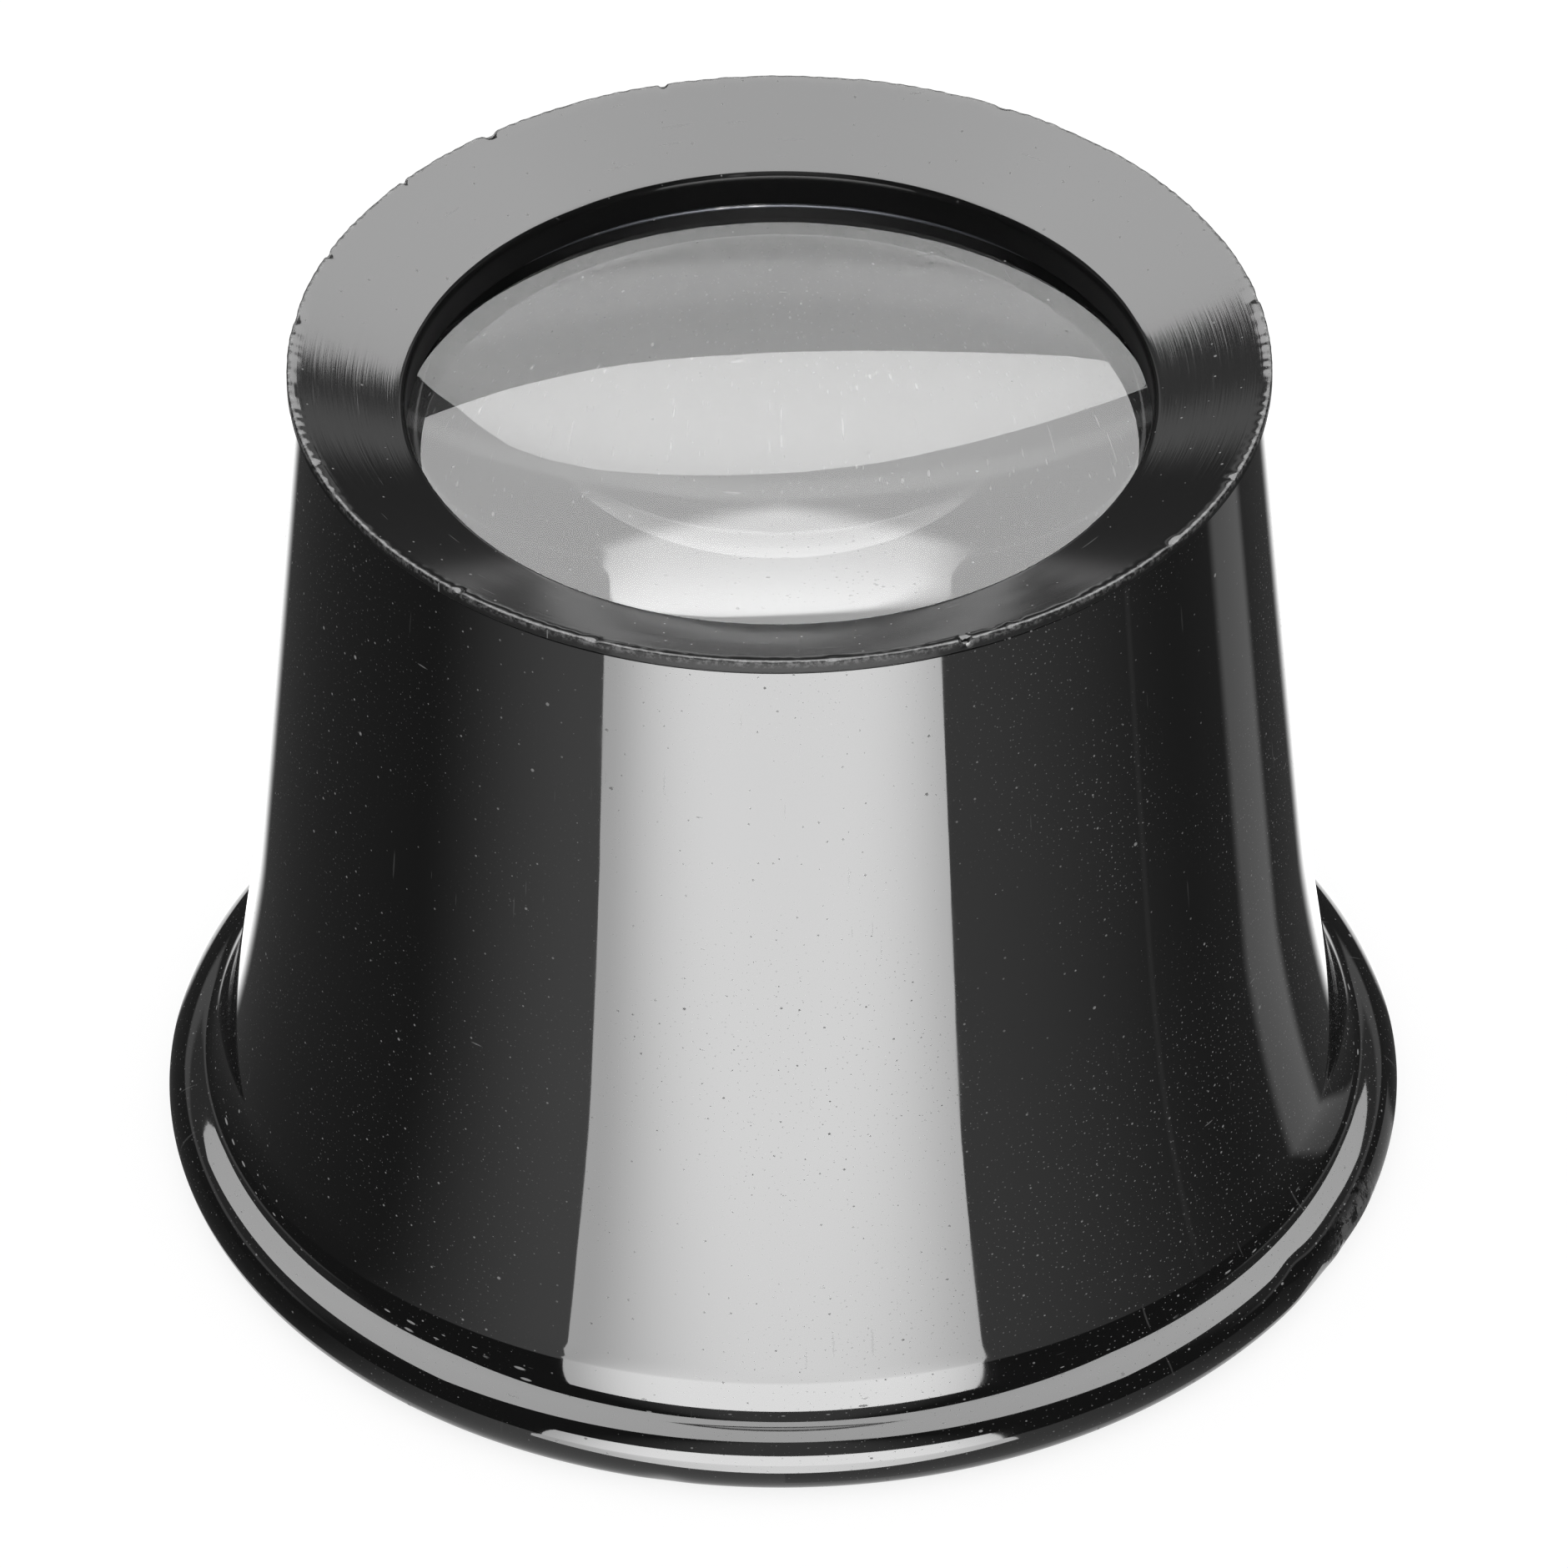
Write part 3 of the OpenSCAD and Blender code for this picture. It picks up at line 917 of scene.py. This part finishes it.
# Grey room round the loupe: floor, wall and roof in one surface. On the floor the light goes by the
# direction in which the wall of the cup looks at it. A ray that leaves the wall, of radius w, in the
# direction d passes the point at the angle b and distance r from the axis where
# sin(b - d) = w / r cos(d / 2), which three rounds of substitution solve for d. Above the floor the
# light goes by the height, as the dish sees it. Angles are degrees from straight back.
def roomLight(x, y, z):
    degrees = 180 / math.pi
    r = (x * x + y * y) ** 0.5
    b = x.absolute().angle(y)
    share = (studio["wallRadius"] / r).atMost(1)
    d = b
    for _ in range(3):
        d = b - (share * (d * 0.5).cosine()).arcsine()
    d, b, up = d * degrees, b * degrees, z.angle(r) * degrees
    left = d.step(92, 140) * 0.85 + 0.09
    right = d.step(75, 150) * 0.6 + 0.09 + d.band(43.5, 47.5, 59, 63) * 0.42
    low = left + (right - left) * (x > 0) + (1 - d.step(18, 27)) * studio["gap"]
    patch = up.step(4.0, 5.2) * b.band(2.0, 3.2, 6.5, 10) * studio["horizon"]
    horizon = ((1 - b.step(8, 20)) * 0.05 + patch) * (1 - up.step(7, 8.4))
    bank = (up.step(18, 20.5) * 0.6 - up.step(24, 26.5) * 0.42) * (1 - b.step(80, 100))
    high = 0.1 - b.step(40, 70) * 0.04 + b.step(140, 170) * 0.6 + horizon + bank
    return low + (high - low) * z.step(1, 30)


roomOutline = np.array([(18.1, 0.15), (60, 0.15), (300, 0.15), (1500, 0.2), (2300, 0.3), (2400, 100),
                        (2400, 600), (2300, 1300), (1800, 2000), (900, 2400), (0.1, 2500)])
stagePiece(lathe("grey_room", roomOutline, 96, closed=False), glowFinish("grey room", roomLight))

room = Finish(bpy.data.worlds.new("soft room"))
level = seenFactor(room) * (1 - studio["softLevel"]) + studio["softLevel"]
sky = room.add("ShaderNodeBackground", None, {"Color": grey(1.0), "Strength": level})
bpy.context.scene.world = room.surface(sky, "ShaderNodeOutputWorld")
print("studio made")


view = {
    "place": (0.068, -275.8, 231.2),        # millimetres
    "aim": (0.068, 0, 11.58),
    "lens": 280.99,
    "roll": -0.293,             # degrees
    "clip": (0.01, 20),         # metres
}
camera = bpy.data.objects.new("camera", bpy.data.cameras.new("camera"))
camera.data.lens = view["lens"]
camera.data.clip_start, camera.data.clip_end = view["clip"]
look = Vector(view["aim"]) - Vector(view["place"])
roll = Quaternion((0, 0, 1), math.radians(view["roll"]))
camera.location = Vector(view["place"]) * mm
camera.rotation_euler = (look.to_track_quat("-Z", "Y") @ roll).to_euler()
bpy.context.scene.collection.objects.link(camera)
bpy.context.scene.camera = camera
bpy.context.scene.view_settings.view_transform = "Standard"
